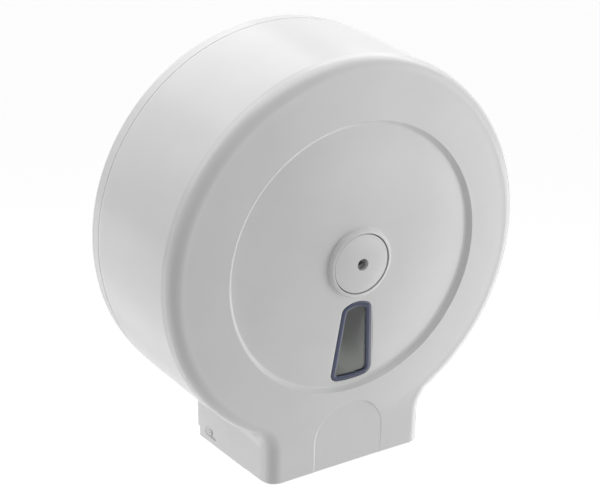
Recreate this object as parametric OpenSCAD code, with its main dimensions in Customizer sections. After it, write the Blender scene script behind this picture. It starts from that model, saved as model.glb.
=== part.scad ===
// Jumbo toilet roll dispenser: a wall plate with a roll spindle, and a round
// lockable cover that swings down on two hinge pins in its outlet neck.
// Frame: origin on the roll axis at the wall, +Y into the wall, +Z up.
// Inside the modules a piece is drawn facing up: X right, Y up the wall and
// Z the depth out from the wall; face_front() turns it to face -Y.

/* [Drum] */
// Radius of the cover's drum at its rear edge
drum_r = 140; // [136:0.5:144]
// Depth of the ring face's outer edge from the wall
drum_depth = 106.5; // [106:0.1:109]
// How much the drum and the neck narrow from rear to front
draft = 4.4; // [3:0.1:5]
// Radius of the rounded front edge
edge_r = 9.6; // [8:0.1:12]
// Wall thickness of the moulded shells
wall = 2.5; // [2:0.1:3]

/* [Domed front] */
// Radius of the recess at the ring face
recess_r = 95.4; // [94:0.1:97]
// Depth of the recess below the ring face
recess_depth = 2.8; // [2:0.1:3.2]
// Radius of the sphere that the ring face follows
ring_dome = 1450; // [1450:50:4000]
// Radius of the sphere that the recess floor follows
floor_dome = 680; // [620:10:900]

/* [Neck] */
// Half width of the outlet neck at the front
neck_half = 63.4; // [62:0.1:65]
// Distance from the roll axis down to the front tear edge
neck_drop = 155.8; // [153:0.1:157]
// Extra drop of the neck's bottom edge at the rear
neck_slope = 6.5; // [6:0.1:9]
// Radius of the flare between drum and neck
flare_r = 20; // [16:0.5:24]
// Half width of the arched thumb recess
arch_r = 27.7; // [24:0.1:30]
// Pitch of the tear teeth
tooth_pitch = 2; // [1.6:0.1:3]
// Height of the tear teeth
tooth_h = 1; // [0.8:0.1:1.6]

/* [Wall plate] */
// Depth of the plate's visible rim
rim_depth = 9.4; // [8:0.1:10]
// Distance between the wall screws across
screw_dx = 150; // [130:5:160]
// Distance between the wall screws up and down
screw_dz = 130; // [110:5:140]
// Diameter of the wall screw holes
screw_d = 5.5; // [4.5:0.1:6]

/* [Spindle] */
// Outer diameter of the turning core hub
hub_d = 54; // [50:1:58]
// Outer diameter of the fixed post inside the hub
post_d = 36; // [35:0.5:38]

/* [Hinge] */
// Depth of the hinge axis from the wall
hinge_depth = 26.4; // [25:0.1:28]
// Distance from the roll axis down to the hinge axis
hinge_drop = 153.3; // [152:0.1:154]
// Diameter of the hinge pins
pin_d = 5; // [4:0.5:5.5]

/* [Lock] */
// Height of the lock boss above the ring face's outer edge
boss_rise = 8.3; // [7:0.1:9]
// Radius of the gap between the boss ring and the lock disc
boss_gap_r = 21; // [20:0.1:22]
// Diameter of the keyhole
keyhole_d = 8.2; // [6:0.1:9]

/* [Hidden] */
$fn = 120;
eps = 0.01;
far = 200;               // reach of a cutter that only has to pass its part
run = 0.05;              // radial running clearance
seat = 0.1;              // gap between pieces that are clipped together
arc_steps = 8;           // segments of a rounded edge

// Drum and neck, as functions of the depth from the wall
part_line = 0.3;         // gap between the plate's rim and the cover
cover_d0 = rim_depth + part_line;
function taper(d) = draft * (d - cover_d0) / (drum_depth - cover_d0);
function drum_at(d) = drum_r - taper(d);
neck_rear = neck_half + draft;
function neck_at(d) = neck_rear - taper(d);
front_r = drum_at(drum_depth);
recess_slope = 8.9;      // width of the recess's wall with the hollow at its foot
recess_hollow = 9;       // radius of that hollow
recess_tilt = 38;        // slope of the wall where it is steepest
recess_lip = 1.3;        // gentler slope along its top edge
recess_lip_drop = 0.45;
neck_top = 100;          // the neck starts this far below the roll axis
relief_drop = 1.2;       // step in the neck's rear bottom corner, below the hinge
relief_t = 3;
side_teeth = 12;         // teeth along each side, behind those along the front
tooth_d0 = drum_depth - edge_r - 1;    // where the side teeth take over
teeth = floor((neck_half - 1) / tooth_pitch);
arch_drop = 133.7;       // centre of the thumb recess's round top
arch_deep = 0.4;         // its floor below the ring face's outer edge, at its top
arch_shallow = 0.25;     // and at the tear edge
cover_rib_t = 1.8;
cover_rib_h = 3.5;
bite = 0.5;              // how far a rib or pin reaches into the wall that carries it
ramp_r = 7.3;            // ramped pocket round the hinge pin's end, for fitting the cover
ramp_t = 1.9;            // its depth at its front end
ramp_shift = 1.5;        // its middle lies this far before the pin, and below it
ramp_low = 3.2;          // its straight lower edge below the pin

// Domed front: the ring face and the recess floor, as functions of the radius
function cap(r, dome) = dome - sqrt(dome * dome - r * r);
ring_out = front_r - edge_r;
recess_in = recess_r - recess_slope;
function ring_at(r, dome = ring_dome) = drum_depth + cap(ring_out, dome) - cap(r, dome);
floor_edge = ring_at(recess_r) - recess_depth;
function floor_at(r) = floor_edge + cap(recess_in, floor_dome) - cap(r, floor_dome);
ring_tilt = asin(ring_out / ring_dome);
inner_dome = 2 * ring_dome;      // the ring is thicker inwards, to carry the thumb recess
floor_tilt = asin(recess_in / floor_dome);
hollow_x = recess_in + recess_hollow * sin(floor_tilt);
hollow_d = floor_edge + recess_hollow * cos(floor_tilt);
dome_steps = 10;
// Points of the recess floor from radius a to b, s below its face
function floor_arc(a, b, s) =
    [for (i = [0:dome_steps]) let (r = a + (b - a) * i / dome_steps) [r, floor_at(r) - s]];

// Flares: the arcs between drum and neck share one centre at every depth
flare_x = neck_half + flare_r;
flare_y = -sqrt(pow(front_r + flare_r, 2) - pow(flare_x, 2));
flare_turn = acos(flare_x / (front_r + flare_r));
function flare_at(d) = flare_r - draft + taper(d);
flare_span = 22;         // how far the flare reaches into the drum
flare_bite = 0.15;       // the flare cuts both walls at a small angle, not tangent
flare_more = 3;          // extra turn at each end

// Lock
boss_d = drum_depth + boss_rise;
boss_ring = 2.8;         // width of the boss ring with its round edge
boss_edge = 2.6;
boss_fillet = 0.5;
boss_gap = 0.7;
pocket_r = boss_gap_r + boss_gap / 2;
boss_r = pocket_r + boss_ring;
foot_r = boss_r + boss_fillet;
floor_d = 104.4;         // flat floor of the lock pocket
inner_d = floor_d - wall;
cup_r = pocket_r + wall; // outside of the pocket, behind the domed floor
disc_r = boss_gap_r - boss_gap / 2;
disc_d = boss_d - 0.6;   // the disc's edge lies a little below the boss ring
disc_t = 1.8;            // thickness of the disc at its edge
disc_rise = 1.65;        // how much the disc's face is domed
disc_dome = (disc_r * disc_r + disc_rise * disc_rise) / (2 * disc_rise);
disc_edge = 0.5;
disc_skirt = 1.8;
disc_foot = 2;           // wide foot that centres the disc in its pocket
housing_r = 9;
flange_r = 16;
flange_t = 2.4;
nut_t = 4;
nut_r = 13.5;
barrel_r = 5;
barrel_d1 = disc_d - disc_t - 0.2;    // the disc keeps the barrel in
housing_d0 = inner_d - nut_t - 1;
shoulder_d = housing_d0 + 3;           // step in the housing's bore
spring_t = 0.6;
socket_r = 1.6;
socket_depth = 7;
keyway_x = 2.8;          // the key's two lugs turn the barrel by these slots
keyway_w = 0.8;
tail_r = 3.6;            // barrel tail that carries the cam
cam_len = 21;
cam_w = 6.4;
cam_t = 3;
cam_square = 2.3;        // half width of the square that drives the cam
washer_t = 0.8;
washer_r = 4.6;
cam_head_t = 1.9;
small_screw_r = 1.5;

// Spindle
post_r = post_d / 2;
post_in = post_r - 5;
post_base = 5;           // solid foot of the post
hub_r = hub_d / 2;
hub_wall = 2.2;
hub_flange_r = 44;
hub_flange_t = 2.5;
hub_webs = 8;
hub_web_t = 1.6;
hub_hole_r = 4.5;
hub_lead = 2.4;          // chamfer that leads the roll's core on
hub_play = 0.4;
plate_boss_d = 8.5;      // face of the plate's centre boss
plate_boss_r = 24;
felt_t = 0.8;
hub_d0 = plate_boss_d + felt_t + 0.1;
catch_d0 = 93;           // rear face of the catch plate
catch_t = 2;
hub_d1 = catch_d0 - hub_play;
catch_r = 21;
slot_x = cam_len / 2 + 0.8;
slot_up = 3.8;           // catch slot above and below the lock axis: the lower
slot_down = 7.6;         // side is deeper, because the cam leaves it downwards
cam_d1 = catch_d0 - 0.6;
cam_screw_d1 = cam_d1 + 8;
post_screw_ring = (post_r + post_in) / 2;
post_screw_r = 1.6;
post_head_d = 1.3;       // the heads are sunk in the back of the plate
post_head_r = 3.5;
post_head_t = 2.2;
post_screw_d1 = plate_boss_d + 14;
catch_screw_r = 1.25;
catch_screw_d1 = catch_d0 - 11;
catch_head_r = 2.4;
catch_head_t = 1.5;

// Wall plate
web_d0 = 3;
web_d1 = 5.5;
rib_d1 = 8;
rib_t = 2;
plate_ribs = 8;
screw_boss_r = 8;
panel_x = 54;
panel_drop = 160;
ear_x1 = 58;
ear_top = 134;           // the ears start this far below the roll axis
back_ring_r = 70;
front_ring_r = 112;
ear_r = 7;
pin_boss_r = 7.5;        // boss inside the cover that turns on the pin
pin_head_r = 4.1;
pin_head_t = 2;
pin_soft = 0.5;          // chamfer on the pin's end
hinge_gap = 0.4;
lip_t = 2;               // lip that centres the closed cover, on the upper half
lip_h = 4.5;
lip_a0 = 10;
lip_r = drum_r - wall - 0.8;

// Window: the middles and right-hand corners of its outline, each with its radius;
// its bottom edge runs parallel to the recess
window_top = [0, -26.3, 18];
window_high = [11.5, -32.1, 4];
window_low = [16.7, -87.6, 5];
window_foot = [0, -89.8, 80];
function mirrored(c) = [-c[0], c[1], c[2]];
window_corners = [window_top, window_high, window_low, window_foot,
    mirrored(window_low), mirrored(window_high)];
window_inner_r = 2.2;    // least radius of its corners, moved inwards
window_reach = 93.3;     // where the flange ends, inside the recess's wall
window_border = 4;
window_flange = 4;
flange_thick = 1.4;
pane_sink = 1.8;         // the clear pane lies below its border
clip_r = 1.25;
clip_len = 3.4;
clip_ring_r = 2.1;
clip_ring_t = 0.6;
clip_ring_gap = 0.3;     // the rings lie level, and the flange slopes
clip_out = 2.5;          // distance of the clip pins from the window's outline
function side_x(a, b, z) = a[0] + (b[0] - a[0]) * (z - a[1]) / (b[1] - a[1]);
clip_spots = [for (z = [-45, -77], side = [-1, 1])
    [side * (side_x(window_high, window_low, z) + clip_out), z]];

module face_front() { rotate([90, 0, 0]) children(); }
// Extrudes a (Y, depth) outline from x0 to x1
module across(x0, x1) {
    translate([x0, 0, 0]) rotate([90, 0, 90]) linear_extrude(x1 - x0) children();
}
// Extrudes an (X, depth) outline downwards from y0 to y1
module down(y0, y1) {
    translate([0, y0, 0]) rotate([90, 0, 0]) linear_extrude(y0 - y1) children();
}
module tube(r_out, r_in, d0, d1) {
    translate([0, 0, d0]) difference() {
        cylinder(r = r_out, h = d1 - d0);
        translate([0, 0, -1]) cylinder(r = r_in, h = d1 - d0 + 2);
    }
}
module rod(r, d0, d1) { translate([0, 0, d0]) cylinder(r = r, h = d1 - d0); }
module slab(x0, x1, y0, y1, d0, d1) {
    translate([x0, y0, d0]) cube([x1 - x0, y1 - y0, d1 - d0]);
}
module both_sides() { children(); mirror([1, 0, 0]) children(); }

function arc(cx, cy, r, a0, a1, n = arc_steps) =
    [for (i = [0:n]) let (a = a0 + (a1 - a0) * i / n) [cx + r * cos(a), cy + r * sin(a)]];

// Moves corner i's two edges inwards by s and rounds it off
function unit(v) = v / norm(v);
function corner_pts(c, i, s) =
    let (n = len(c), p = [c[i][0], c[i][1]],
        a = unit([c[(i + n - 1) % n][0], c[(i + n - 1) % n][1]] - p),
        b = unit([c[(i + 1) % n][0], c[(i + 1) % n][1]] - p),
        half = acos(a * b) / 2, m = unit(a + b),
        q = p + m * (s / sin(half)), r = max(window_inner_r, c[i][2] - s),
        o = q + m * (r / sin(half)), ta = q + a * (r / tan(half)),
        a0 = atan2(ta[1] - o[1], ta[0] - o[0]), turn = 180 - 2 * half)
    arc(o[0], o[1], r, a0, a0 - turn, 10);
function rounded_outline(c, s = 0) = [for (i = [0:len(c) - 1]) each corner_pts(c, i, s)];
module window_shape(s) { polygon(rounded_outline(window_corners, s)); }

// ---- Front cover ----
// Outer profile of the drum, from its rear edge round to the lock pocket
function cover_outer() = concat(
    [[0, cover_d0], [drum_at(cover_d0), cover_d0]],
    arc(ring_out, drum_depth - edge_r, edge_r, atan(draft / drum_depth), 90 - ring_tilt),
    ring_arc(recess_r, 0, ring_dome),
    [[recess_r - recess_lip, ring_at(recess_r) - recess_lip_drop]],
    arc(hollow_x, hollow_d, recess_hollow, 270 + recess_tilt, 270 - floor_tilt),
    floor_arc(recess_in - 1, foot_r, 0),
    arc(foot_r, floor_at(foot_r) + boss_fillet, boss_fillet, 270, 180, 4),
    arc(boss_r - boss_edge, boss_d - boss_edge, boss_edge, 0, 90),
    [[pocket_r, boss_d], [pocket_r, floor_d], [0, floor_d]]);
// Inner profile, one wall thickness inside
function cover_inner() = concat(
    [[0, 0], [drum_r - wall, 0], [drum_at(cover_d0) - wall, cover_d0]],
    arc(ring_out, drum_depth - edge_r, edge_r - wall, atan(draft / drum_depth), 90 - ring_tilt),
    ring_arc(recess_r + wall / 2, wall, inner_dome), floor_arc(recess_in + wall / 2, cup_r, wall),
    [[cup_r, inner_d], [0, inner_d]]);
// Points of the ring face inwards to radius r, s below its face
function ring_arc(r, s, dome) =
    [for (i = [1:4]) let (q = ring_out + (r - ring_out) * i / 4) [q, ring_at(q, dome) - s]];
// Plan of the neck: half width s less than the outside, front at depth d
function neck_plan(s, d, d0) =
    let (x = neck_at(drum_depth) - s, r = edge_r - s)
    concat([[-neck_at(d0) + s, d0]], arc(-x + r, d - r, r, 180, 90),
        arc(x - r, d - r, r, 90, 0), [[neck_at(d0) - s, d0]]);
// Corner between drum and neck, rounded over like the rest, with its faces
// moved inwards by s: the body at s = flare_bite, its hollow at s = wall + flare_bite
module flare(s, d0) {
    translate([flare_x, flare_y, 0]) rotate([0, 0, 180 - flare_turn - flare_more])
    rotate_extrude(angle = flare_turn + 2 * flare_more)
    polygon(concat([[flare_at(d0) + s, d0]],
        arc(flare_r + edge_r, drum_depth - edge_r, edge_r - s, 180, 90),
        [[flare_r + flare_span, drum_depth - s], [flare_r + flare_span, d0]]));
}
function edge_drop(d) = neck_drop + neck_slope * (drum_depth - d) / (drum_depth - cover_d0);
// Everything below the sloping bottom edge, with the tear teeth
module bottom_cut() {
    across(-far, far) polygon([[-edge_drop(-1), -1], [-far, -1], [-far, far],
        [-edge_drop(far), far]]);
    translate([0, 0, tooth_d0]) linear_extrude(edge_r + 3)
    polygon(concat([[-far, -far]],
        [for (i = [-teeth:teeth]) each [
            [(i - 0.5) * tooth_pitch, -edge_drop(tooth_d0) - eps],
            [i * tooth_pitch, -neck_drop + tooth_h]]],
        [[far, -far]]));
    across(-far, far) polygon(concat([[-far, tooth_d0]],
        [for (i = [0:side_teeth]) let (d = tooth_d0 - i * tooth_pitch) each [
            [-edge_drop(d) - eps, d],
            [-edge_drop(d) + tooth_h, d - tooth_pitch / 2]]],
        [[-far, tooth_d0 - (side_teeth + 1) * tooth_pitch]]));
}
// Thumb recess on the neck's front, deepest at its top, where the dome starts
module arch_cut() {
    intersection() {
        translate([0, -arch_drop, drum_depth - wall]) union() {
            cylinder(r = arch_r, h = 2 * wall);
            slab(-arch_r, arch_r, -far, 0, 0, 2 * wall);
        }
        across(-far, far) polygon([[arch_r - arch_drop, drum_depth - arch_deep],
            [-neck_drop, drum_depth - arch_shallow], [-far, drum_depth - arch_shallow],
            [-far, far], [arch_r - arch_drop, far]]);
    }
}
// Ramped pocket round the hinge pin in the neck's side, deepest at its front
module hinge_pocket() {
    reach = neck_at(hinge_depth);
    rear = hinge_depth + ramp_shift - ramp_r;
    front = hinge_depth + ramp_shift + ramp_r;
    intersection() {
        across(reach - 2 * wall, reach + 2 * wall) intersection() {
            translate([-hinge_drop - ramp_shift, hinge_depth + ramp_shift]) circle(r = ramp_r);
            translate([-hinge_drop - ramp_low, rear - 1]) square(2 * ramp_r + 2);
        }
        down(-neck_top, -far) polygon([[neck_at(rear) - 0.2, rear], [neck_at(front) - ramp_t, front],
            [reach + far, front], [reach + far, rear]]);
    }
}
// Domed layer that follows the recess floor out to a radius, from s0 to s1 below its face
module floor_layer(reach, s0, s1) {
    rotate_extrude() polygon(concat(floor_arc(reach, cup_r - bite, s0),
        floor_arc(cup_r - bite, reach, s1)));
}
// Stiffening ribs inside the front, left out where the window is
module cover_ribs() {
    intersection() {
        floor_layer(recess_in + wall / 2, wall - bite, wall + cover_rib_h);
        for (a = [-15:30:195]) rotate([0, 0, a])
            slab(cup_r - bite, recess_r, -cover_rib_t / 2, cover_rib_t / 2, 0, far);
    }
}
module front_cover() {
    color("white") face_front() difference() {
        union() {
            difference() {
                union() {
                    rotate_extrude() polygon(cover_outer());
                    down(-neck_top, -edge_drop(0)) polygon(neck_plan(0, drum_depth, cover_d0));
                    both_sides() flare(flare_bite, cover_d0);
                }
                rotate_extrude() polygon(cover_inner());
                down(-neck_top, -far) polygon(neck_plan(wall, drum_depth - wall, 0));
                both_sides() flare(wall + flare_bite, 0);
            }
            cover_ribs();
            both_sides() across(ear_x1 + hinge_gap, neck_at(hinge_depth) - wall / 2)
                translate([-hinge_drop, hinge_depth]) circle(r = pin_boss_r);
            for (p = clip_spots) at_clip(p) rod(clip_r, -clip_len, bite);
        }
        bottom_cut();
        arch_cut();
        // relief that lets the neck's rear corner swing past the wall
        slab(-far, far, -far, -hinge_drop - relief_drop, -1, cover_d0 + relief_t);
        translate([0, 0, inner_d - 1]) linear_extrude(boss_d - inner_d) window_shape(0);
        rod(housing_r, inner_d - 1, floor_d + 1);
        both_sides() hinge_pocket();
        across(-far, far) translate([-hinge_drop, hinge_depth]) circle(r = pin_d / 2 + run);
    }
}
// Places a piece at clip spot p, with its depth counted from the cover's inner face
module at_clip(p) { translate([p[0], p[1], floor_at(norm(p)) - wall]) children(); }
// A layer of the window, s inside its outline
module window_layer(s, s0, s1) {
    intersection() {
        floor_layer(window_reach, s0, s1);
        linear_extrude(far) window_shape(s);
    }
}
module view_window() {
    color([0.25, 0.3, 0.42, 0.6]) face_front() difference() {
        union() {
            window_layer(seat, 0, wall);
            window_layer(-window_flange, wall, wall + flange_thick);
        }
        window_layer(window_border, -1, pane_sink);
        for (p = clip_spots) at_clip(p) rod(clip_r + seat, -clip_len, 1);
    }
}
module window_clips() {
    color("silver") face_front()
    for (p = clip_spots) at_clip(p)
        tube(clip_ring_r, clip_r + run, -flange_thick - clip_ring_gap - clip_ring_t,
            -flange_thick - clip_ring_gap);
}

// ---- Lock ----
module lock_disc() {
    color("white") face_front() difference() {
        rotate_extrude() polygon(concat([[0, floor_d], [pocket_r - seat, floor_d],
            [pocket_r - seat, floor_d + disc_foot], [disc_r, floor_d + disc_foot + 0.5]],
            arc(disc_r - disc_edge, disc_d - disc_edge, disc_edge, 0, 80, 3),
            [for (r = [disc_r - 3:-3:0]) [r, disc_d + disc_rise - cap(r, disc_dome)]],
            [[0, disc_d + disc_rise]]));
        rod(disc_r - disc_skirt, floor_d - 1, disc_d - disc_t);
        rod(keyhole_d / 2, floor_d, boss_d + 2 * disc_rise);
    }
}
module lock_housing() {
    color("dimgray") face_front() difference() {
        union() {
            rod(flange_r, floor_d, floor_d + flange_t);
            rod(housing_r - seat, housing_d0, floor_d + flange_t);
            rod(barrel_r + 2.4, floor_d, barrel_d1 - spring_t);
        }
        rod(barrel_r + run, shoulder_d, boss_d);
        rod(tail_r + 0.3, housing_d0 - 1, boss_d);
    }
}
module lock_nut() {
    color("dimgray") face_front() intersection() {
        tube(nut_r, housing_r, inner_d - nut_t, inner_d);
        cylinder(r = nut_r + 1, h = far, $fn = 6);
    }
}
module lock_spring() {
    color("silver") face_front()
        tube(barrel_r - seat, tail_r + seat, shoulder_d, shoulder_d + spring_t);
}
module lock_barrel() {
    color("gray") face_front() difference() {
        union() {
            rod(barrel_r, shoulder_d + spring_t, barrel_d1);
            rod(tail_r, cam_d1, shoulder_d + spring_t + eps);
            slab(-cam_square, cam_square, -cam_square, cam_square, cam_d1 - cam_t, cam_d1 + eps);
        }
        rod(socket_r, barrel_d1 - socket_depth, boss_d);
        slab(-keyway_x, keyway_x, -keyway_w / 2, keyway_w / 2, barrel_d1 - socket_depth, boss_d);
        rod(small_screw_r, cam_d1 - cam_t - 1, cam_screw_d1);
    }
}
module lock_cam() {
    color("silver") face_front() difference() {
        intersection() {
            slab(-cam_len / 2, cam_len / 2, -cam_w / 2, cam_w / 2, cam_d1 - cam_t, cam_d1);
            cylinder(r = cam_len / 2, h = far);
        }
        slab(-cam_square - eps, cam_square + eps, -cam_square - eps, cam_square + eps,
            cam_d1 - cam_t - 1, cam_d1 + 1);
    }
}
module cam_washer() {
    color("silver") face_front()
        tube(washer_r, small_screw_r + seat, cam_d1 - cam_t - washer_t, cam_d1 - cam_t);
}
// Pan-head screw along the depth: head at depth d0, pointing to d1
module screw(r, head_r, head_t, d0, d1) {
    way = sign(d1 - d0);
    translate([0, 0, d0]) mirror([0, 0, way < 0 ? 1 : 0]) difference() {
        union() {
            cylinder(r1 = head_r * 0.85, r2 = head_r, h = head_t);
            cylinder(r = r, h = abs(d1 - d0));
        }
        for (a = [0, 90]) rotate([0, 0, a])
            translate([-head_r * 0.6, -0.4, -1]) cube([head_r * 1.2, 0.8, head_t * 0.55 + 1]);
    }
}
module cam_screw() {
    color("silver") face_front()
        screw(small_screw_r - run, 2 * small_screw_r, cam_head_t,
            cam_d1 - cam_t - washer_t - cam_head_t, cam_screw_d1 - 0.5);
}

// ---- Spindle ----
module around(n, a0, r) {
    for (i = [0:n - 1]) rotate([0, 0, a0 + i * 360 / n]) translate([r, 0, 0]) children();
}
module spindle_post() {
    color("white") face_front() difference() {
        rod(post_r, plate_boss_d, catch_d0);
        rod(post_in, plate_boss_d + post_base, catch_d0 + 1);
        around(3, 30, post_screw_ring) rod(post_screw_r, plate_boss_d - 1, post_screw_d1);
        around(3, 60, post_screw_ring) rod(catch_screw_r, catch_screw_d1, catch_d0 + 1);
    }
}
module post_screws() {
    color("silver") face_front() around(3, 30, post_screw_ring)
        screw(post_screw_r - run, post_head_r, post_head_t, post_head_d, post_screw_d1 - 1);
}
module brake_washer() {
    color("gray") face_front()
        tube(plate_boss_r, post_r + 0.3, plate_boss_d, plate_boss_d + felt_t);
}
module core_hub() {
    color("white") face_front() difference() {
        rotate_extrude() polygon([[0, hub_d0], [hub_flange_r, hub_d0],
            [hub_flange_r, hub_d0 + hub_flange_t], [hub_r, hub_d0 + hub_flange_t],
            [hub_r, hub_d1 - hub_lead], [hub_r - hub_lead / 2, hub_d1], [0, hub_d1]]);
        difference() {
            tube(hub_r - hub_wall, post_r + hub_wall, hub_d0 + hub_flange_t, hub_d1 + 1);
            around(hub_webs, 0, 0)
                slab(post_r, hub_r, -hub_web_t / 2, hub_web_t / 2, 0, hub_d1 - 3);
        }
        rod(post_r + run, hub_d0 - 1, hub_d1 + 1);
        around(hub_webs, 180 / hub_webs, (hub_flange_r + hub_r) / 2)
            rod(hub_hole_r, hub_d0 - 1, hub_d0 + hub_flange_t + 1);
    }
}
module catch_plate() {
    color("silver") face_front() difference() {
        rod(catch_r, catch_d0, catch_d0 + catch_t);
        slab(-slot_x, slot_x, -slot_down, slot_up, 0, far);
        around(3, 60, post_screw_ring) rod(catch_screw_r + seat, 0, far);
    }
}
module catch_screws() {
    color("silver") face_front() around(3, 60, post_screw_ring)
        screw(catch_screw_r - run, catch_head_r, catch_head_t,
            catch_d0 + catch_t + catch_head_t, catch_screw_d1 + 1);
}

// ---- Wall plate and hinge pins ----
module radial_ribs(r0, r1, d0, d1) {
    around(plate_ribs, 180 / plate_ribs, 0) slab(r0, r1, -rib_t / 2, rib_t / 2, d0, d1);
}
module screw_spots() {
    for (sx = [-1, 1], sy = [-1, 1])
        translate([sx * screw_dx / 2, sy * screw_dz / 2, 0]) children();
}
module hinge_ear() {
    across(panel_x, ear_x1) {
        translate([-hinge_drop, hinge_depth]) circle(r = ear_r);
        polygon([[-panel_drop, 0], [-panel_drop, hinge_depth - 2],
            [-hinge_drop - ear_r, hinge_depth], [-hinge_drop + ear_r, hinge_depth],
            [-ear_top, web_d1], [-ear_top, 0]]);
    }
}
module wall_plate() {
    color("white") face_front() difference() {
        union() {
            difference() {
                union() {
                    rod(drum_r - wall + eps, web_d0, web_d1);
                    tube(drum_r, drum_r - wall, 0, rim_depth);
                }
                slab(-panel_x, panel_x, -far, -neck_top, web_d1, far);
            }
            tube(back_ring_r, back_ring_r - rib_t, 0, web_d0 + eps);
            radial_ribs(plate_boss_r - 1, drum_r - wall + eps, 0, web_d0 + eps);
            radial_ribs(plate_boss_r - 1, lip_r - lip_t, web_d1 - eps, rib_d1);
            tube(front_ring_r, front_ring_r - rib_t, web_d1 - eps, rib_d1);
            rod(plate_boss_r, 0, plate_boss_d);
            screw_spots() rod(screw_boss_r, 0, rib_d1);
            rotate([0, 0, lip_a0]) rotate_extrude(angle = 180 - 2 * lip_a0)
                polygon([[lip_r - lip_t, web_d1 - eps], [lip_r, web_d1 - eps],
                [lip_r, rim_depth + lip_h - 1], [lip_r - 1, rim_depth + lip_h],
                [lip_r - lip_t, rim_depth + lip_h]]);
            slab(-panel_x, panel_x, -panel_drop, -neck_top, web_d0, web_d1);
            both_sides() {
                slab(panel_x - rib_t, panel_x + eps, -panel_drop, -ear_top + ear_r, 0, web_d1);
                hinge_ear();
            }
            slab(-panel_x, panel_x, -panel_drop, -panel_drop + rib_t, 0, rib_d1);
        }
        screw_spots() {
            rod(screw_d / 2, -1, rib_d1 + 1);
            rod(screw_d, rib_d1 - rib_t, rib_d1 + 1);
        }
        around(3, 30, post_screw_ring) {
            rod(post_screw_r + seat, -1, plate_boss_d + 1);
            rod(post_head_r + 0.7, -1, post_head_d + post_head_t);
        }
        across(-far, far) translate([-hinge_drop, hinge_depth]) circle(r = pin_d / 2 + eps);
    }
}
// Headed pin, pressed into the ear from inside; the cover turns on its free end
module hinge_pin() {
    reach = neck_at(hinge_depth) - 0.3;
    translate([0, -hinge_drop, hinge_depth]) rotate([0, 90, 0]) difference() {
        union() {
            rod(pin_head_r, panel_x - pin_head_t, panel_x);
            rod(pin_d / 2, panel_x - eps, reach - pin_soft);
            translate([0, 0, reach - pin_soft - eps])
                cylinder(r1 = pin_d / 2, r2 = pin_d / 2 - pin_soft, h = pin_soft + eps);
        }
        rod(0.7, reach - 1.2, far);
    }
}
module hinge_pin_right() { color("white") face_front() hinge_pin(); }
module hinge_pin_left() { color("white") face_front() mirror([1, 0, 0]) hinge_pin(); }

wall_plate();
spindle_post();
post_screws();
brake_washer();
core_hub();
catch_plate();
catch_screws();
hinge_pin_left();
hinge_pin_right();
front_cover();
view_window();
window_clips();
lock_disc();
lock_housing();
lock_nut();
lock_spring();
lock_barrel();
lock_cam();
cam_washer();
cam_screw();
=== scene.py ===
from math import asin, atan2, cos, degrees, radians, sin, sqrt, tan

import bmesh
import bpy
from mathutils import Matrix, Vector
from mathutils.geometry import delaunay_2d_cdt


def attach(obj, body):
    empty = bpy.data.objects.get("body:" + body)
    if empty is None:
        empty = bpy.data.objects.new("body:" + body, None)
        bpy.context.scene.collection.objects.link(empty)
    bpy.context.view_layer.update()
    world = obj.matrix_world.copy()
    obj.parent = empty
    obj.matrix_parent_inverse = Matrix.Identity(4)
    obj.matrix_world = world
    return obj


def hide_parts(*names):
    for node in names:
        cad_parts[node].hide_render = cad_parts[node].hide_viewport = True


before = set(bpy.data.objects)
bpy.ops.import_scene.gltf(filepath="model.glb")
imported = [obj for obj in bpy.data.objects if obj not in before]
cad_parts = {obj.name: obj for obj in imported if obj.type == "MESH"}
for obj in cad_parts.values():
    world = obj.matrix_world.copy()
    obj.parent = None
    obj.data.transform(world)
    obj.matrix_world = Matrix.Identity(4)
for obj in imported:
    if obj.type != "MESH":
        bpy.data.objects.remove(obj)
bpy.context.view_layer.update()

MM = 0.001

# ---- Driving dimensions, in millimetres ----
# A point is (x, z, depth): x to the right, z up, depth out from the wall.
DRUM_R = 140.0
DRUM_DEPTH = 106.5
DRAFT = 4.4
EDGE_R = 9.6
WALL = 2.5
RIM_DEPTH = 9.4
RIM_GAP = 0.3
RIM_R = 0.4
RECESS_R = 95.4
RECESS_DEPTH = 3.5
RECESS_SLOPE = 3.5
RECESS_HOLLOW = 1.5
RECESS_TILT = 50
RECESS_KNEE = 2.4
RING_DOME = 1450.0
FLOOR_DOME = 680.0

NECK_HALF = 63.4
NECK_DROP = 155.8
NECK_SLOPE = 6.5
FLARE_R = 20.0
HEEL = 3.0               # the neck's bottom edge steps up over this depth at its rear
HEEL_DROP = 154.5        # and stays this far below the roll axis there
TOOTH_H = 1.0
SIDE_TEETH = 22          # rows of teeth on the neck's sides, 1 mm apart, behind the front edge
ARCH_R = 27.7
ARCH_DROP = 133.7
ARCH_DEEP = 0.4
ARCH_SHALLOW = 0.25
ARCH_STEP = 0.9
# Offsets of the rows across the thumb recess's step, outwards from its edge
ARCH_ROWS = (1.2, 0.5, 0.4, 0.2, 0, -0.2, -0.4, -0.5, -1.2)

HINGE_DEPTH = 26.4
HINGE_DROP = 153.3
PIN_HOLE_R = 2.55
PIN_HOLE_X = (60, 72)
HINGE_BOSS_R = 7.5
HINGE_BOSS_X = (58.4, 65.8)
HINGE_BOSS_EDGE = 0.3
RAMP_R = 7.3
RAMP_T = 1.9
RAMP_REAR = 0.2
RAMP_SHIFT = 1.5
RAMP_LOW = 3.2

BOSS_RISE = 8.3
BOSS_GAP_R = 21.0
BOSS_GAP = 0.7
BOSS_RING = 2.8
BOSS_EDGE = 2.6
BOSS_FILLET = 0.5
POCKET_FLOOR = 104.4
POCKET_EDGE = 0.15
KEYHOLE_R = 4.1
KEYHOLE_EDGE = 0.3
HOUSING_R = 9.0
DISC_SINK = 0.6
DISC_T = 1.8
DISC_RISE = 1.65
DISC_EDGE = 0.4
DISC_SKIRT = 1.8
DISC_FOOT = 2.0
DISC_FIT = 0.1

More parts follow.
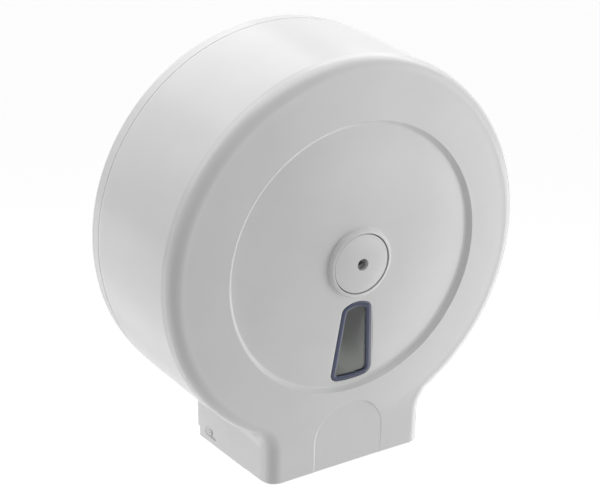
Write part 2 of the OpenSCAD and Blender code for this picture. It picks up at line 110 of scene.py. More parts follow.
# Middle of the window's top edge, its right-hand corners and the middle of its bottom edge,
# each with its radius
WINDOW_TOP = (0, -26.3, 18)
WINDOW_HIGH = (11.5, -32.1, 6)
WINDOW_LOW = (16.7, -87.6, 6.4)
WINDOW_FOOT = (0, -89.8, 80)
WINDOW_INNER_R = 2.2
# Rows round the window's opening in the cover, as (inset, depth below the floor's face)
WINDOW_MOUTH = ((-0.9, 0), (-0.3, 0), (-0.09, 0.09), (0, 0.3), (0, WALL))
BORDER = 4.0
BORDER_CROWN = 0.3
BORDER_EDGE = 0.6
BORDER_SHOULDER = 0.22
BORDER_GAP = 0.1
FLANGE = 4.0
FLANGE_T = 1.4
PANE_SINK = 1.1
PANE_T = 1.5
PANE_DOME = 0.6
PANE_GAP = 0.02
PANE_RINGS = (1, 0.94, 0.85, 0.72, 0.58, 0.44, 0.3, 0.15)

CLIP_R = 1.25
CLIP_OUT = 2.5
CLIP_HEIGHTS = (-45, -77)
CLIP_LENGTH = 3.4
CLIP_POINT = 0.3
RIB_T = 1.8
RIB_H = 3.5
RIB_EDGE = 0.25
RIB_ANGLES = range(-15, 196, 30)
ROOT = 0.4               # how far ribs and pins reach into the wall that carries them

# ---- Mesh steps ----
GUARD = 0.6              # narrow flat strip beside a round edge, so that its shading stays there
TURN_STEPS = 180
DISC_STEPS = 120
PIN_STEPS = 48
FLOOR_RADII = range(28, 90, 3)

# ---- Camera and studio ----
CAMERA_AT = (-0.45297, -0.76275, 0.34788)
CAMERA_AZIMUTH = -31.9992
CAMERA_ELEVATION = 23.2141
CAMERA_ROLL = 1.2095
CAMERA_LENS = 79.35
CAMERA_SENSOR = 36
LIGHT_CENTRE = Vector((0, -0.055, -0.02))
LIGHT_DISTANCE = 1.3
LIGHT_SIZE = 1.0
# name, azimuth, elevation, watts
LIGHTS = [
    ("top", 0, 88, 5.2),
    ("back_high", 180, 45, 2.7),
    ("back_left_high", -120, 45, 4.0),
    ("back_right_high", 120, 45, 4.1),
    ("right_front", 45, 8, 5.3),
    ("right_low", 70, -28, 5.1),
    ("front_low", 10, -28, 1.0),
    ("left_low", -100, -28, 2.8),
    ("back_left_low", -140, -28, 2.0),
]
AMBIENT = 0.22
FLOOR_Z = -1.15
FLOOR_SIZE = 12
FLOOR_GLOW = 0.75

# ---- Values that follow from them ----
COVER_D0 = RIM_DEPTH + RIM_GAP
INNER_D = POCKET_FLOOR - WALL
FRONT_R = DRUM_R - DRAFT
RING_OUT = FRONT_R - EDGE_R
RECESS_IN = RECESS_R - RECESS_SLOPE
FLOOR_TILT = asin(RECESS_IN / FLOOR_DOME)
FLARE_X = NECK_HALF + FLARE_R
FLARE_Z = -sqrt((FRONT_R + FLARE_R) ** 2 - FLARE_X ** 2)
BOSS_D = DRUM_DEPTH + BOSS_RISE
POCKET_R = BOSS_GAP_R + BOSS_GAP / 2
CUP_R = POCKET_R + WALL
DISC_R = BOSS_GAP_R - BOSS_GAP / 2
DISC_D = BOSS_D - DISC_SINK
DISC_DOME = (DISC_R ** 2 + DISC_RISE ** 2) / (2 * DISC_RISE)
WINDOW_CORNERS = [WINDOW_TOP, WINDOW_HIGH, WINDOW_LOW, WINDOW_FOOT,
                  (-WINDOW_LOW[0], *WINDOW_LOW[1:]), (-WINDOW_HIGH[0], *WINDOW_HIGH[1:])]


# ---- Curves and surfaces ----
def smooth(t):
    """Eases from 0 to 1 as t goes from 0 to 1."""
    t = min(max(t, 0.0), 1.0)
    return t * t * (3 - 2 * t)


def radius(x, z):
    """Distance from the roll axis."""
    return sqrt(x * x + z * z)


def arc(cx, cy, r, a0, a1, n):
    """Points on an arc from angle a0 to a1, in degrees."""
    turn = [radians(a0 + (a1 - a0) * i / n) for i in range(n + 1)]
    return [(cx + r * cos(a), cy + r * sin(a)) for a in turn]


def loop(cx, cy, r, n):
    """n points round a whole circle."""
    return arc(cx, cy, r, 0, 360 - 360 / n, n - 1)


def circle(r, d, steps=TURN_STEPS, centre=(0, 0)):
    """Points on a circle about the depth axis, at depth d."""
    return [(x, z, d) for x, z in loop(*centre, r, steps)]


def hinge_circle(r, x):
    """Points on a circle about the hinge axis, at x."""
    return [(x, z, d) for d, z in loop(HINGE_DEPTH, -HINGE_DROP, r, PIN_STEPS)]


def cap(r, dome):
    """Height of a sphere's cap of radius r."""
    return dome - sqrt(dome * dome - r * r)


def ring_at(r, dome=RING_DOME):
    """Depth of the domed ring face; the neck's front stays flat."""
    return DRUM_DEPTH + cap(RING_OUT, dome) - cap(min(r, RING_OUT), dome)


def ring_inside(r):
    """Depth of the ring's inner face, which is flatter."""
    return ring_at(r, 2 * RING_DOME) - WALL


def floor_at(r):
    """Depth of the domed recess floor."""
    edge = ring_at(RECESS_R) - RECESS_DEPTH
    return edge + cap(RECESS_IN, FLOOR_DOME) - cap(r, FLOOR_DOME)


def floor_inside(r):
    """Depth of the recess floor's inner face."""
    return floor_at(r) - WALL


# ---- Mesh building ----
class Shape:
    """Collects points (x, z, depth) and faces, and makes one closed mesh of them."""

    def __init__(self):
        self.points, self.faces = [], []

    def row(self, points):
        """Adds points and returns their numbers."""
        first = len(self.points)
        self.points += [tuple(p) for p in points]
        return list(range(first, len(self.points)))

    def strip(self, a, b, closed=False):
        """Quads between two rows of the same length."""
        count = len(a) if closed else len(a) - 1
        for i in range(count):
            j = (i + 1) % len(a)
            self.faces.append((a[i], a[j], b[j], b[i]))

    def strips(self, rows, closed=False):
        """Quads between each row and the next."""
        for a, b in zip(rows, rows[1:]):
            self.strip(a, b, closed)

    def wrap(self, rows):
        """Strips between closed rows, and from the last one back to the first."""
        self.strips(rows + [rows[0]], closed=True)

    def solid(self, rows):
        """Strips between closed rows, with a face across the first and the last one."""
        self.strips(rows, closed=True)
        self.faces += [tuple(rows[0]), tuple(rows[-1])]

    def fill(self, loops, surface=None, radii=()):
        """Triangles between the outer loop and the holes, seen along the depth.

        Where a surface is given, as a depth for each radius, points on circles of these
        radii carry the triangles along it."""
        rings = [[self.points[i][:2] for i in ring] for ring in loops]
        between = [(x, z, surface(r)) for r in radii for x, z, _ in circle(r, 0)
                   if sum(inside((x, z), ring) for ring in rings) % 2
                   and all(clear_of((x, z), ring) for ring in rings)]
        flat = [i for ring in loops for i in ring] + self.row(between)
        spots = [Vector(self.points[i][:2]) for i in flat]
        edges, first = [], 0
        for ring in loops:
            n = len(ring)
            edges += [(first + i, first + (i + 1) % n) for i in range(n)]
            first += n
        verts, _, faces, origins, _, _ = delaunay_2d_cdt(spots, edges, [], 0, 1e-6)
        for face in faces:
            mid = sum((verts[i] for i in face), Vector((0, 0))) / len(face)
            if sum(inside(mid, ring) for ring in rings) % 2:
                self.faces.append(tuple(flat[origins[i][0]] for i in face))

    def make(self, name, sharp=30):
        """Makes the object, with merged points and all faces turned outwards."""
        mesh = bpy.data.meshes.new(name)
        mesh.from_pydata([(x * MM, -d * MM, z * MM) for x, z, d in self.points], [], self.faces)
        clean = bmesh.new()
        clean.from_mesh(mesh)
        bmesh.ops.remove_doubles(clean, verts=clean.verts, dist=1e-7)
        bmesh.ops.recalc_face_normals(clean, faces=clean.faces)
        clean.to_mesh(mesh)
        clean.free()
        obj = bpy.data.objects.new(name, mesh)
        bpy.context.scene.collection.objects.link(obj)
        soften(obj, sharp)
        return obj


def inside(point, ring):
    """Whether a flat point lies inside a closed ring of points."""
    hit = False
    x, y = point
    for (x0, y0), (x1, y1) in zip(ring, ring[1:] + ring[:1]):
        if (y0 > y) != (y1 > y) and x < (x1 - x0) * (y - y0) / (y1 - y0) + x0:
            hit = not hit
    return hit


def clear_of(point, ring, gap=0.5):
    """Whether a flat point keeps its distance from a ring's points."""
    return all((point[0] - x) ** 2 + (point[1] - y) ** 2 > gap * gap for x, y in ring)


def soften(obj, sharp=30):
    """Smooth shading; edges over the angle sharp, in degrees, stay sharp."""
    obj.data.shade_smooth()
    obj.data.set_sharp_from_angle(angle=radians(sharp))


def round_edges(obj, width):
    """Rounds an object's sharp edges by a width in millimetres."""
    mod = obj.modifiers.new("round", "BEVEL")
    mod.width, mod.segments = width * MM, 2
    mod.limit_method, mod.angle_limit = "ANGLE", radians(40)
    return obj


def subtract(obj, cutter):
    """Cuts cutter out of obj for good, and removes it."""
    mod = obj.modifiers.new("cut", "BOOLEAN")
    mod.operation, mod.solver, mod.object = "DIFFERENCE", "EXACT", cutter
    view = bpy.context.evaluated_depsgraph_get()
    mesh = bpy.data.meshes.new_from_object(obj.evaluated_get(view))
    obj.modifiers.clear()
    old, obj.data = obj.data, mesh
    bpy.data.meshes.remove(old)
    bpy.data.objects.remove(cutter)


# ---- Outline of the cover, seen from the front ----
def outline(e, z_end):
    """The cover's outline moved outwards by e, from the right foot over the top to the left."""
    low = degrees(atan2(FLARE_X, -FLARE_Z)) - 90
    flare = arc(FLARE_X, FLARE_Z, FLARE_R - e, 180, 180 + low, 18)
    drum = arc(0, 0, FRONT_R + e, low, 90, 74)
    right = flare_foot(e, z_end) + flare[1:] + drum[1:]
    left = [(-x, z) for x, z in reversed(right[:-1])]
    return right + left


def flare_foot(e, z_end):
    """The straight side of the neck, from its bottom end up to the flare."""
    x, top = NECK_HALF + e, FLARE_Z - GUARD
    rise = [(x, top + (z_end - top) * t) for t in (1, 0.8, 0.6, 0.4, 0.2)]
    return rise + [(x, top), (x, FLARE_Z)]


def side_at(d):
    """How far the tapered side stands outside the front outline."""
    return DRAFT * (DRUM_DEPTH - d) / (DRUM_DEPTH - COVER_D0)


def side_bottom(d, tooth):
    """Height of the neck's bottom edge on its sides; tooth is 1 at a notch and 0 at a tip."""
    if d < COVER_D0 + HEEL:
        return -HEEL_DROP
    drop = NECK_DROP + NECK_SLOPE * (DRUM_DEPTH - d) / (DRUM_DEPTH - COVER_D0)
    return tooth * TOOTH_H - drop


def front_bottom(x):
    """Height of the toothed bottom edge across the front."""
    return -NECK_DROP + TOOTH_H * (1 - abs(x % 2 - 1))


def side_rows():
    """(outward offset, depth, tooth) of each row, from the rear rim to the ring face."""
    rows = [(DRAFT - RIM_R + RIM_R * sin(radians(a)), COVER_D0 + RIM_R - RIM_R * cos(radians(a)), 0)
            for a in (0, 30, 60, 90)]
    tilt = atan2(DRAFT, DRUM_DEPTH)
    heel = COVER_D0 + HEEL
    teeth = DRUM_DEPTH - EDGE_R * (1 - sin(tilt)) - SIDE_TEETH
    plain = (heel - 0.02, heel + 0.02, 20, 32, 44, 56, 66, teeth - GUARD)
    rows += [(side_at(d), d, 0) for d in plain]
    rows += [(side_at(teeth + i), teeth + i, i % 2) for i in range(SIDE_TEETH)]
    rows += [(e - EDGE_R, d + DRUM_DEPTH - EDGE_R, i % 2)
             for i, (e, d) in enumerate(arc(0, 0, EDGE_R, degrees(tilt), 90, 16))]
    return rows + [(-EDGE_R - GUARD, DRUM_DEPTH, 0)]


def inward(e, d):
    """The point of the inner skin that faces a row of the outer one."""
    if d <= DRUM_DEPTH - EDGE_R:
        return e - WALL, d
    if e < -EDGE_R:
        return e, d - WALL
    reach = Vector((e + EDGE_R, d - DRUM_DEPTH + EDGE_R)).normalized() * (EDGE_R - WALL)
    return reach.x - EDGE_R, reach.y + DRUM_DEPTH - EDGE_R


# ---- Thumb recess in the neck's front ----
def arch_floor(z):
    """Depth of the thumb recess's flat floor."""
    top = ARCH_R - ARCH_DROP
    share = (z - top) / (-NECK_DROP - top)
    return DRUM_DEPTH - ARCH_DEEP - (ARCH_SHALLOW - ARCH_DEEP) * min(max(share, 0), 1)


def arch_path(o):
    """The thumb recess's edge moved outwards by o, from its left foot to its right one."""
    x = ARCH_R + o
    foot = front_bottom(x)
    left = [(-x, foot + (-ARCH_DROP - foot) * t) for t in (0, 0.25, 0.5, 0.75)]
    return left + arc(0, -ARCH_DROP, x, 180, 0, 56) + [(-a, b) for a, b in reversed(left)]


def arch_step(s):
    """Rows across the thumb recess's rounded step, from the ring face down to its floor."""
    step = []
    for o in ARCH_ROWS:
        sink = smooth(0.5 - o / ARCH_STEP)
        step.append(s.row([(x, z, (1 - sink) * ring_at(radius(x, z)) + sink * arch_floor(z))
                           for x, z in arch_path(o)]))
    s.strips(step)
    return step


def front_teeth(s):
    """Points of the toothed edge across the front: left of the thumb recess, in it, right of it."""
    reach = int(NECK_HALF - EDGE_R - GUARD - 0.1)
    left, middle, right = [], [], []
    for x in range(-reach, reach + 1):
        if abs(abs(x) - ARCH_R) <= ARCH_ROWS[0]:
            continue
        z = front_bottom(x)
        in_arch = abs(x) < ARCH_R
        run = middle if in_arch else left if x < 0 else right
        run.extend(s.row([(x, z, arch_floor(z) if in_arch else DRUM_DEPTH)]))
    return left, middle, right


# ---- Front cover ----
def side_skins(s):
    """The drum's and neck's side with its front rounding: rows of the outer and inner skin."""
    outer, inner = [], []
    for e, d, tooth in side_rows():
        z_end = side_bottom(d, tooth)
        outer.append(s.row([(x, z, d) for x, z in outline(e, z_end)]))
        e_in, d_in = inward(e, d)
        inner.append(s.row([(x, z, d_in) for x, z in outline(e_in, z_end)]))
    s.strips(outer)
    s.strips(inner)
    s.strip(outer[0], inner[0])
    for end in (0, -1):
        s.strip([row[end] for row in outer], [row[end] for row in inner])
    return outer, inner


def front_face(s, outer, inner):
    """The ring and the neck's front inside the last side rows; returns the recess's two mouths."""
    step = arch_step(s)
    left, middle, right = front_teeth(s)
    mouth_r = RECESS_R + GUARD
    mouth = s.row(circle(mouth_r, ring_at(mouth_r)))
    ring_radii = [RING_OUT + (mouth_r - RING_OUT) * i / 7 for i in range(7)]
    s.fill([outer + left + step[0] + right, mouth], ring_at, ring_radii)
    s.fill([step[-1] + middle[::-1]])

    # The bottom edge's thickness, and the inner face behind the ring
    front = left + [row[0] for row in step] + middle + [row[-1] for row in reversed(step)] + right
    back = s.row([(*s.points[i][:2], DRUM_DEPTH - WALL) for i in front])
    s.strip([outer[-1]] + front + [outer[0]], [inner[-1]] + back + [inner[0]])
    mouth_r = RECESS_R + WALL / 2
    mouth_in = s.row(circle(mouth_r, ring_inside(mouth_r)))
    s.fill([inner + back, mouth_in], ring_inside, ring_radii)
    return mouth, mouth_in


def wall_profile():
    """(radius, depth) of the recess's wall, from its soft upper edge to the hollow at its foot."""
    x = RECESS_IN + RECESS_HOLLOW * sin(FLOOR_TILT)
    d = floor_at(RECESS_IN) + RECESS_HOLLOW * cos(FLOOR_TILT)
    hollow = arc(x, d, RECESS_HOLLOW, 270 + RECESS_TILT, 270 - degrees(FLOOR_TILT), 6)
    top, foot = Vector((RECESS_R, ring_at(RECESS_R))), Vector(hollow[0])
    tilt = radians(RECESS_TILT)
    knee = foot + RECESS_KNEE * Vector((cos(tilt), sin(tilt)))
    lip = [(1 - t) ** 2 * top + 2 * t * (1 - t) * knee + t * t * foot
           for t in (0, 0.2, 0.4, 0.6, 0.8)]
    return [tuple(p) for p in lip] + hollow + [(RECESS_IN - GUARD, floor_at(RECESS_IN - GUARD))]


def boss_profile():
    """(radius, depth) of the lock boss and its pocket, from its foot to the floor's inner face."""
    boss_r = POCKET_R + BOSS_RING
    foot_r = boss_r + BOSS_FILLET
    profile = [(r, floor_at(r)) for r in (foot_r + 2 * GUARD, foot_r + GUARD)]
    profile += arc(foot_r, floor_at(foot_r) + BOSS_FILLET, BOSS_FILLET, 270, 180, 6)
    profile += arc(boss_r - BOSS_EDGE, BOSS_D - BOSS_EDGE, BOSS_EDGE, 0, 90, 16)
    profile += arc(POCKET_R + POCKET_EDGE, BOSS_D - POCKET_EDGE, POCKET_EDGE, 90, 180, 4)
    profile += [(POCKET_R, POCKET_FLOOR), (HOUSING_R, POCKET_FLOOR), (HOUSING_R, INNER_D)]
    return profile + [(CUP_R, INNER_D), (CUP_R, floor_inside(CUP_R))]


def recess(s, mouth, mouth_in):
    """The domed recess with the lock boss and the window's opening, and its inner face."""
    slope = [s.row(circle(r, d)) for r, d in wall_profile()]
    s.strips([mouth] + slope, closed=True)
    boss = [s.row(circle(r, d)) for r, d in boss_profile()]
    s.strips(boss, closed=True)
    window = [s.row(window_outline(inset, below)) for inset, below in WINDOW_MOUTH]
    s.strips(window, closed=True)
    s.fill([slope[-1], boss[0], window[0]], floor_at, FLOOR_RADII)
    inner_r = RECESS_IN + WALL / 2
    floor_in = s.row(circle(inner_r, floor_inside(inner_r)))
    s.strip(mouth_in, floor_in, closed=True)
    s.fill([floor_in, boss[-1], window[-1]], floor_inside, FLOOR_RADII)


def cover_shell():
    """The cover's moulding, before the hinge pockets and pin holes are cut."""
    s = Shape()
    outer, inner = side_skins(s)
    mouth, mouth_in = front_face(s, outer[-1], inner[-1])
    recess(s, mouth, mouth_in)
    return s.make("cover_shell")


def hinge_cutter(side):
    """Ramped pocket round the pin's end at one side, deepest at its front."""
    s = Shape()
    low = degrees(asin((RAMP_LOW - RAMP_SHIFT) / RAMP_R))
    pocket = arc(HINGE_DEPTH + RAMP_SHIFT, -HINGE_DROP - RAMP_SHIFT, RAMP_R, -low, 180 + low, 48)
    rear = HINGE_DEPTH + RAMP_SHIFT - RAMP_R
    slope = (RAMP_T - RAMP_REAR) / (2 * RAMP_R)
    floor = [NECK_HALF + side_at(d) - RAMP_REAR - slope * (d - rear) for d, _ in pocket]
    s.solid([s.row([(side * x, z, d) for x, (d, z) in zip(floor, pocket)]),
             s.row([(side * (NECK_HALF + 10), z, d) for d, z in pocket])])
    return s.make("cutter")


def pin_hole(side):
    """Cutter of the hinge pin's hole at one side."""
    s = Shape()
    s.solid([s.row(hinge_circle(PIN_HOLE_R, side * x)) for x in PIN_HOLE_X])
    return s.make("cutter")


# ---- Ribs, hinge bosses and clip pins inside the cover ----
def rib(s, angle, r0, r1):
    """A straight rib from radius r0 to r1 that follows the domed floor; angle in degrees."""
    across, along = sin(radians(angle)), cos(radians(angle))
    section = [(-RIB_T / 2, RIB_H), (RIB_T / 2, RIB_H), (RIB_T / 2, -ROOT), (-RIB_T / 2, -ROOT)]
    rows = []
    for i in range(9):
        r = r0 + (r1 - r0) * i / 8
        rows.append(s.row([(r * along - w * across, r * across + w * along, floor_inside(r) - below)
                           for w, below in section]))
    s.solid(rows)


def cover_ribs():
    """Ribs from the lock's cup out to the recess's wall, with none behind the window."""
    s = Shape()
    for angle in RIB_ANGLES:
        rib(s, angle, CUP_R - ROOT, RECESS_IN + WALL / 2)
    return round_edges(s.make("cover_ribs"), RIB_EDGE)


def hinge_bosses():
    """The two bosses that turn on the hinge pins."""
    s = Shape()
    near, far = HINGE_BOSS_X
    for side in (-1, 1):
        profile = [(PIN_HOLE_R, near), (HINGE_BOSS_R, near), (HINGE_BOSS_R, far), (PIN_HOLE_R, far)]
        s.wrap([s.row(hinge_circle(r, side * x)) for r, x in profile])
    return round_edges(s.make("cover_hinge_bosses"), HINGE_BOSS_EDGE)


def clip_pins():
    """Four moulded pins that carry the window and its push-on rings."""
    s = Shape()
    for z in CLIP_HEIGHTS:
        x = window_side(z) + CLIP_OUT
        base = floor_inside(radius(x, z))
        profile = [(CLIP_R, base + ROOT), (CLIP_R, base - CLIP_LENGTH + CLIP_POINT),
                   (CLIP_R - CLIP_POINT, base - CLIP_LENGTH)]
        for side in (-1, 1):
            s.solid([s.row(circle(r, d, 24, (side * x, z))) for r, d in profile])
    return s.make("cover_clip_pins")


# ---- Window: navy frame with a rounded face, and a smoky pane sunk in it ----
def window_outline(s, below):
    """The window's rounded outline moved inwards by s, at a depth below the floor's face."""
    points, n = [], len(WINDOW_CORNERS)
    spots = [Vector(c[:2]) for c in WINDOW_CORNERS]
    for i, corner in enumerate(WINDOW_CORNERS):
        a = (spots[i - 1] - spots[i]).normalized()
        b = (spots[(i + 1) % n] - spots[i]).normalized()
        half = a.angle(b) / 2
        middle = (a + b).normalized()
        r = max(WINDOW_INNER_R, corner[2] - s)
        centre = spots[i] + middle * ((s + r) / sin(half))
        start = a * (r / tan(half)) + spots[i] + middle * (s / sin(half)) - centre
        a0 = degrees(atan2(start.y, start.x))
        points += arc(centre.x, centre.y, r, a0, a0 - 180 + 2 * degrees(half), 12)
    return [(x, z, floor_at(radius(x, z)) - below) for x, z in points]


def window_side(z):
    """Half width of the window's outline at a height."""
    share = (z - WINDOW_HIGH[1]) / (WINDOW_LOW[1] - WINDOW_HIGH[1])
    return WINDOW_HIGH[0] + (WINDOW_LOW[0] - WINDOW_HIGH[0]) * share


def window_border():
    """The navy frame, with a flange behind the cover round the opening."""
    s = Shape()
    edge, foot = BORDER_EDGE, BORDER_EDGE - BORDER_GAP
    profile = [(-FLANGE, WALL + FLANGE_T), (-FLANGE, WALL), (BORDER_GAP, WALL), (BORDER_GAP, foot)]
    profile += [(BORDER_GAP + edge - edge * cos(radians(a)), foot - edge * sin(radians(a)))
                for a in (30, 60, 85)]
    profile += [(BORDER_GAP + 2 * edge, -BORDER_SHOULDER), (BORDER / 2, -BORDER_CROWN),
                (BORDER_GAP + BORDER - 2 * edge, -BORDER_SHOULDER)]
    profile += [(BORDER - edge + edge * sin(radians(a)), foot - edge * cos(radians(a)))
                for a in (5, 30, 60, 90)]
    profile += [(BORDER, WALL + FLANGE_T)]
    s.wrap([s.row(window_outline(inset, below)) for inset, below in profile])
    return s.make("window_border", 40)


def pane_depth(x, z):
    """The pane's face, domed between the window's sides."""
    u = x / window_side(z)
    v = 2 * (z - WINDOW_TOP[1]) / (WINDOW_FOOT[1] - WINDOW_TOP[1]) - 1
    return floor_at(radius(x, z)) - PANE_SINK + PANE_DOME * (1 - u * u) * (1 - v * v)


def window_pane():
    """The smoky pane, as nested rings that follow its domed face and its back."""
    s = Shape()
    edge = [Vector(p[:2]) for p in window_outline(BORDER + PANE_GAP, 0)]
    middle = sum(edge, Vector((0, 0))) / len(edge)
    rings = [[middle + (p - middle) * share for p in edge] for share in PANE_RINGS]
    back = [s.row([(p.x, p.y, floor_at(p.length) - PANE_SINK - PANE_T) for p in ring])
            for ring in reversed(rings)]
    face = [s.row([(p.x, p.y, pane_depth(p.x, p.y)) for p in ring]) for ring in rings]
    s.solid(back + face)
    return s.make("window_pane", 40)


# ---- Lock disc ----
def disc_at(r):
    """Depth of the disc's domed face."""
    return DISC_D + DISC_RISE - cap(r, DISC_DOME)


def lock_disc():
    """The domed disc with the keyhole, on a skirt that stands in the boss's pocket."""
    s = Shape()
    foot, under = POCKET_FLOOR + DISC_FOOT, DISC_D - DISC_T
    foot_r, skirt_r = POCKET_R - DISC_FIT, DISC_R - DISC_SKIRT
    hole_r, rim_r = KEYHOLE_R + KEYHOLE_EDGE, DISC_R - DISC_EDGE
    profile = [(KEYHOLE_R, under)]
    profile += arc(hole_r, disc_at(hole_r) - KEYHOLE_EDGE, KEYHOLE_EDGE, 180, 90, 5)
    profile += [(r, disc_at(r)) for r in (hole_r + GUARD, 6, 8, 10, 12, 14, 16, 18, DISC_R - 1)]
    profile += arc(rim_r, disc_at(rim_r) - DISC_EDGE, DISC_EDGE, 86, 0, 5)
    profile += [(DISC_R, foot + 0.5), (foot_r, foot), (foot_r, POCKET_FLOOR)]
    profile += [(skirt_r, POCKET_FLOOR), (skirt_r, under)]
    s.wrap([s.row(circle(r, d, DISC_STEPS)) for r, d in profile])
    return s.make("lock_disc_cap")


# ---- Materials ----
def material(name, colour, roughness, **sockets):
    """A Principled material; returns it with its tree and shader."""
    mat = bpy.data.materials.new(name)
    mat.use_nodes = True
    tree = mat.node_tree
    shader = tree.nodes["Principled BSDF"]
    shader.inputs["Base Color"].default_value = (*colour, 1)
    shader.inputs["Roughness"].default_value = roughness
    for socket, value in sockets.items():
        shader.inputs[socket.replace("_", " ")].default_value = value
    mat.diffuse_color = (*colour, 1)
    return mat, tree, shader


def noise(tree, scale, detail, stretch=(1, 1, 1)):
    """A noise texture in the part's own space; scale is in features a metre."""
    place = tree.nodes.new("ShaderNodeTexCoord")
    sizing = tree.nodes.new("ShaderNodeMapping")
    sizing.inputs["Scale"].default_value = stretch
    texture = tree.nodes.new("ShaderNodeTexNoise")
    texture.inputs["Scale"].default_value = scale
    texture.inputs["Detail"].default_value = detail
    tree.links.new(place.outputs["Object"], sizing.inputs["Vector"])
    tree.links.new(sizing.outputs["Vector"], texture.inputs["Vector"])
    return texture


def spread(tree, texture, low, high):
    """Maps a noise to a range of values."""
    remap = tree.nodes.new("ShaderNodeMapRange")
    remap.inputs["From Min"].default_value = 0.3
    remap.inputs["From Max"].default_value = 0.7
    remap.inputs["To Min"].default_value = low
    remap.inputs["To Max"].default_value = high
    tree.links.new(texture.outputs["Fac"], remap.inputs["Value"])
    return remap.outputs["Result"]


def shade(tree, shader, texture, colour, darkest):
    """Varies a shader's colour by a noise, down to a share of its brightness."""
    mix = tree.nodes.new("ShaderNodeMix")
    mix.data_type = "RGBA"
    mix.inputs["A"].default_value = (*(c * darkest for c in colour), 1)
    mix.inputs["B"].default_value = (*colour, 1)
    tree.links.new(spread(tree, texture, 0, 1), mix.inputs["Factor"])
    tree.links.new(mix.outputs["Result"], shader.inputs["Base Color"])


def bump(tree, shader, *layers):
    """Adds bumps to a shader, each as (texture, height in mm, strength)."""
    normal = None
    for texture, height, strength in layers:
        node = tree.nodes.new("ShaderNodeBump")
        node.inputs["Distance"].default_value = height * MM
        node.inputs["Strength"].default_value = strength
        tree.links.new(texture.outputs["Fac"], node.inputs["Height"])
        if normal:
            tree.links.new(normal, node.inputs["Normal"])
        normal = node.outputs["Normal"]
    tree.links.new(normal, shader.inputs["Normal"])


def moulded(name, colour, roughness, darkest=0.97, ripple=0.05, **sockets):
    """Injection-moulded plastic: slow sink ripples, a fine skin and a slight change of tone."""
    mat, tree, shader = material(name, colour, roughness, **sockets)
    slow = noise(tree, 28, 2)
    fine = noise(tree, 900, 4)
    shade(tree, shader, slow, colour, darkest)
    rough = spread(tree, fine, roughness * 0.88, roughness * 1.12)
    tree.links.new(rough, shader.inputs["Roughness"])
    bump(tree, shader, (slow, ripple, 0.5), (fine, 0.004, 0.5))
    return mat


def plated(name, colour, roughness):
    """Zinc-plated steel: brushed streaks and soft cloudy spangle."""
    mat, tree, shader = material(name, colour, roughness, Metallic=1.0)
    cloud = noise(tree, 250, 3)
    streak = noise(tree, 700, 3, (1, 1, 12))
    shade(tree, shader, cloud, colour, 0.78)
    rough = spread(tree, streak, roughness * 0.75, roughness * 1.3)
    tree.links.new(rough, shader.inputs["Roughness"])
    bump(tree, shader, (streak, 0.01, 0.4))
    return mat


def felted(name, colour):
    """Pressed felt: matt, with fibres along one direction."""
    mat, tree, shader = material(name, colour, 0.95, Sheen_Weight=0.4)
    fibre = noise(tree, 2600, 5, (1, 2.5, 1))
    shade(tree, shader, fibre, colour, 0.6)
    bump(tree, shader, (fibre, 0.25, 0.9))
    return mat


WHITE = moulded("white_abs", (0.82, 0.82, 0.82), 0.24)
HUB_WHITE = moulded("hub_plastic", (0.74, 0.75, 0.76), 0.4, darkest=0.94)
NAVY = moulded("navy_border", (0.035, 0.05, 0.12), 0.18, darkest=0.85, ripple=0.02)
SMOKE = moulded("smoky_pane", (0.27, 0.29, 0.27), 0.24, darkest=0.95, ripple=0.01,
                Transmission_Weight=1.0, IOR=1.46)
GREY = moulded("grey_acetal", (0.12, 0.12, 0.125), 0.35, darkest=0.9)
BARREL = moulded("barrel_grey", (0.32, 0.32, 0.33), 0.35, darkest=0.9)
ZINC = plated("zinc_steel", (0.62, 0.63, 0.62), 0.32)
FELT = felted("grey_felt", (0.16, 0.16, 0.17))

# ---- CAD pieces that stay as they are, with their finish ----
FINISHES = {
    "wall_plate": WHITE, "spindle_post": WHITE, "hinge_pin_left": WHITE, "hinge_pin_right": WHITE,
    "core_hub": HUB_WHITE, "lock_housing": GREY, "lock_nut": GREY, "lock_barrel": BARREL,
    "post_screws": ZINC, "catch_plate": ZINC, "catch_screws": ZINC, "lock_spring": ZINC,
    "lock_cam": ZINC, "cam_washer": ZINC, "cam_screw": ZINC, "window_clips": ZINC,
    "brake_washer": FELT,
}
for node, finish in FINISHES.items():
    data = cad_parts[node].data
    data.materials.clear()
    data.materials.append(finish)


# ---- New pieces, which stand for the cover, the window and the lock disc ----
def dress(piece, finish, node):
    """Gives a new piece of the cover its material and body, and hides the CAD node it stands for.
    """
    piece.data.materials.clear()
    piece.data.materials.append(finish)
    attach(piece, "cover")
    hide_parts(node)


shell = cover_shell()
for side in (-1, 1):
    subtract(shell, hinge_cutter(side))
    subtract(shell, pin_hole(side))
soften(shell)
for piece in (shell, cover_ribs(), hinge_bosses(), clip_pins()):
    dress(piece, WHITE, "front_cover")
dress(window_border(), NAVY, "view_window")
dress(window_pane(), SMOKE, "view_window")
dress(lock_disc(), WHITE, "lock_disc")


# ---- Camera ----
def toward(azimuth, elevation):
    """Unit vector out from the object; azimuth 0 is straight in front of it."""
    a, e = radians(azimuth), radians(elevation)
    return Vector((sin(a) * cos(e), -cos(a) * cos(e), sin(e)))


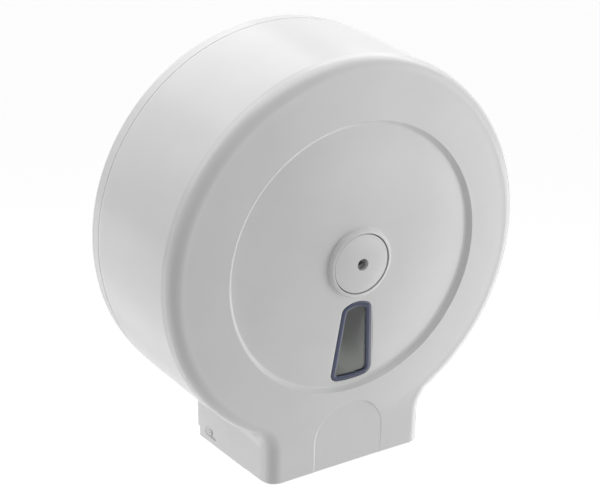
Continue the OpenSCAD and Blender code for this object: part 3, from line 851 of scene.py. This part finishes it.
def add_camera():
    """The photo's camera, with its slight roll."""
    back = toward(CAMERA_AZIMUTH, CAMERA_ELEVATION)
    right = Vector((cos(radians(CAMERA_AZIMUTH)), sin(radians(CAMERA_AZIMUTH)), 0))
    up = back.cross(right)
    turn = radians(CAMERA_ROLL)
    across = right * cos(turn) + up * sin(turn)
    over = up * cos(turn) - right * sin(turn)
    data = bpy.data.cameras.new("camera")
    data.lens, data.sensor_width, data.sensor_fit = CAMERA_LENS, CAMERA_SENSOR, "HORIZONTAL"
    camera = bpy.data.objects.new("camera", data)
    camera.matrix_world = (Matrix.Translation(CAMERA_AT)
                           @ Matrix((across, over, back)).transposed().to_4x4())
    bpy.context.scene.collection.objects.link(camera)
    bpy.context.scene.camera = camera


# ---- Lights, backdrop and floor ----
def softbox(name, azimuth, elevation, watts):
    """A square area lamp that faces the object."""
    data = bpy.data.lights.new(name, "AREA")
    data.shape, data.size, data.energy = "SQUARE", LIGHT_SIZE, watts
    lamp = bpy.data.objects.new(name, data)
    way = toward(azimuth, elevation)
    lamp.matrix_world = (Matrix.Translation(LIGHT_CENTRE + way * LIGHT_DISTANCE)
                         @ way.to_track_quat("Z", "Y").to_matrix().to_4x4())
    bpy.context.scene.collection.objects.link(lamp)


def seen_directly(tree):
    """1 for camera, glossy and transmission rays, and 0 for the rest."""
    path = tree.nodes.new("ShaderNodeLightPath")
    total = path.outputs["Is Camera Ray"]
    for kind in ("Is Glossy Ray", "Is Transmission Ray"):
        largest = tree.nodes.new("ShaderNodeMath")
        largest.operation = "MAXIMUM"
        tree.links.new(total, largest.inputs[0])
        tree.links.new(path.outputs[kind], largest.inputs[1])
        total = largest.outputs["Value"]
    return total


def white_world():
    """Even soft light from all round, behind a white that only direct looks see."""
    world = bpy.data.worlds.new("studio")
    world.use_nodes = True
    tree = world.node_tree
    background = tree.nodes["Background"]
    background.inputs["Color"].default_value = (1, 1, 1, 1)
    level = tree.nodes.new("ShaderNodeMapRange")
    level.inputs["To Min"].default_value = AMBIENT
    level.inputs["To Max"].default_value = 1
    tree.links.new(seen_directly(tree), level.inputs["Value"])
    tree.links.new(level.outputs["Result"], background.inputs["Strength"])
    bpy.context.scene.world = world


def pale_floor():
    """A wide white floor, far below the wall-hung part, that still takes its soft shadow."""
    bpy.ops.mesh.primitive_plane_add(size=FLOOR_SIZE, location=(0, 0, FLOOR_Z))
    floor = bpy.context.object
    floor.name = "floor"
    mat, tree, shader = material("floor", (0.85, 0.85, 0.85), 0.9)
    glow = tree.nodes.new("ShaderNodeEmission")
    strength = tree.nodes.new("ShaderNodeMath")
    strength.operation = "MULTIPLY"
    strength.inputs[1].default_value = FLOOR_GLOW
    both = tree.nodes.new("ShaderNodeAddShader")
    tree.links.new(seen_directly(tree), strength.inputs[0])
    tree.links.new(strength.outputs["Value"], glow.inputs["Strength"])
    tree.links.new(shader.outputs["BSDF"], both.inputs[0])
    tree.links.new(glow.outputs["Emission"], both.inputs[1])
    tree.links.new(both.outputs["Shader"], tree.nodes["Material Output"].inputs["Surface"])
    floor.data.materials.append(mat)


add_camera()
white_world()
pale_floor()
for lamp in LIGHTS:
    softbox(*lamp)
bpy.context.scene.view_settings.view_transform = "Standard"
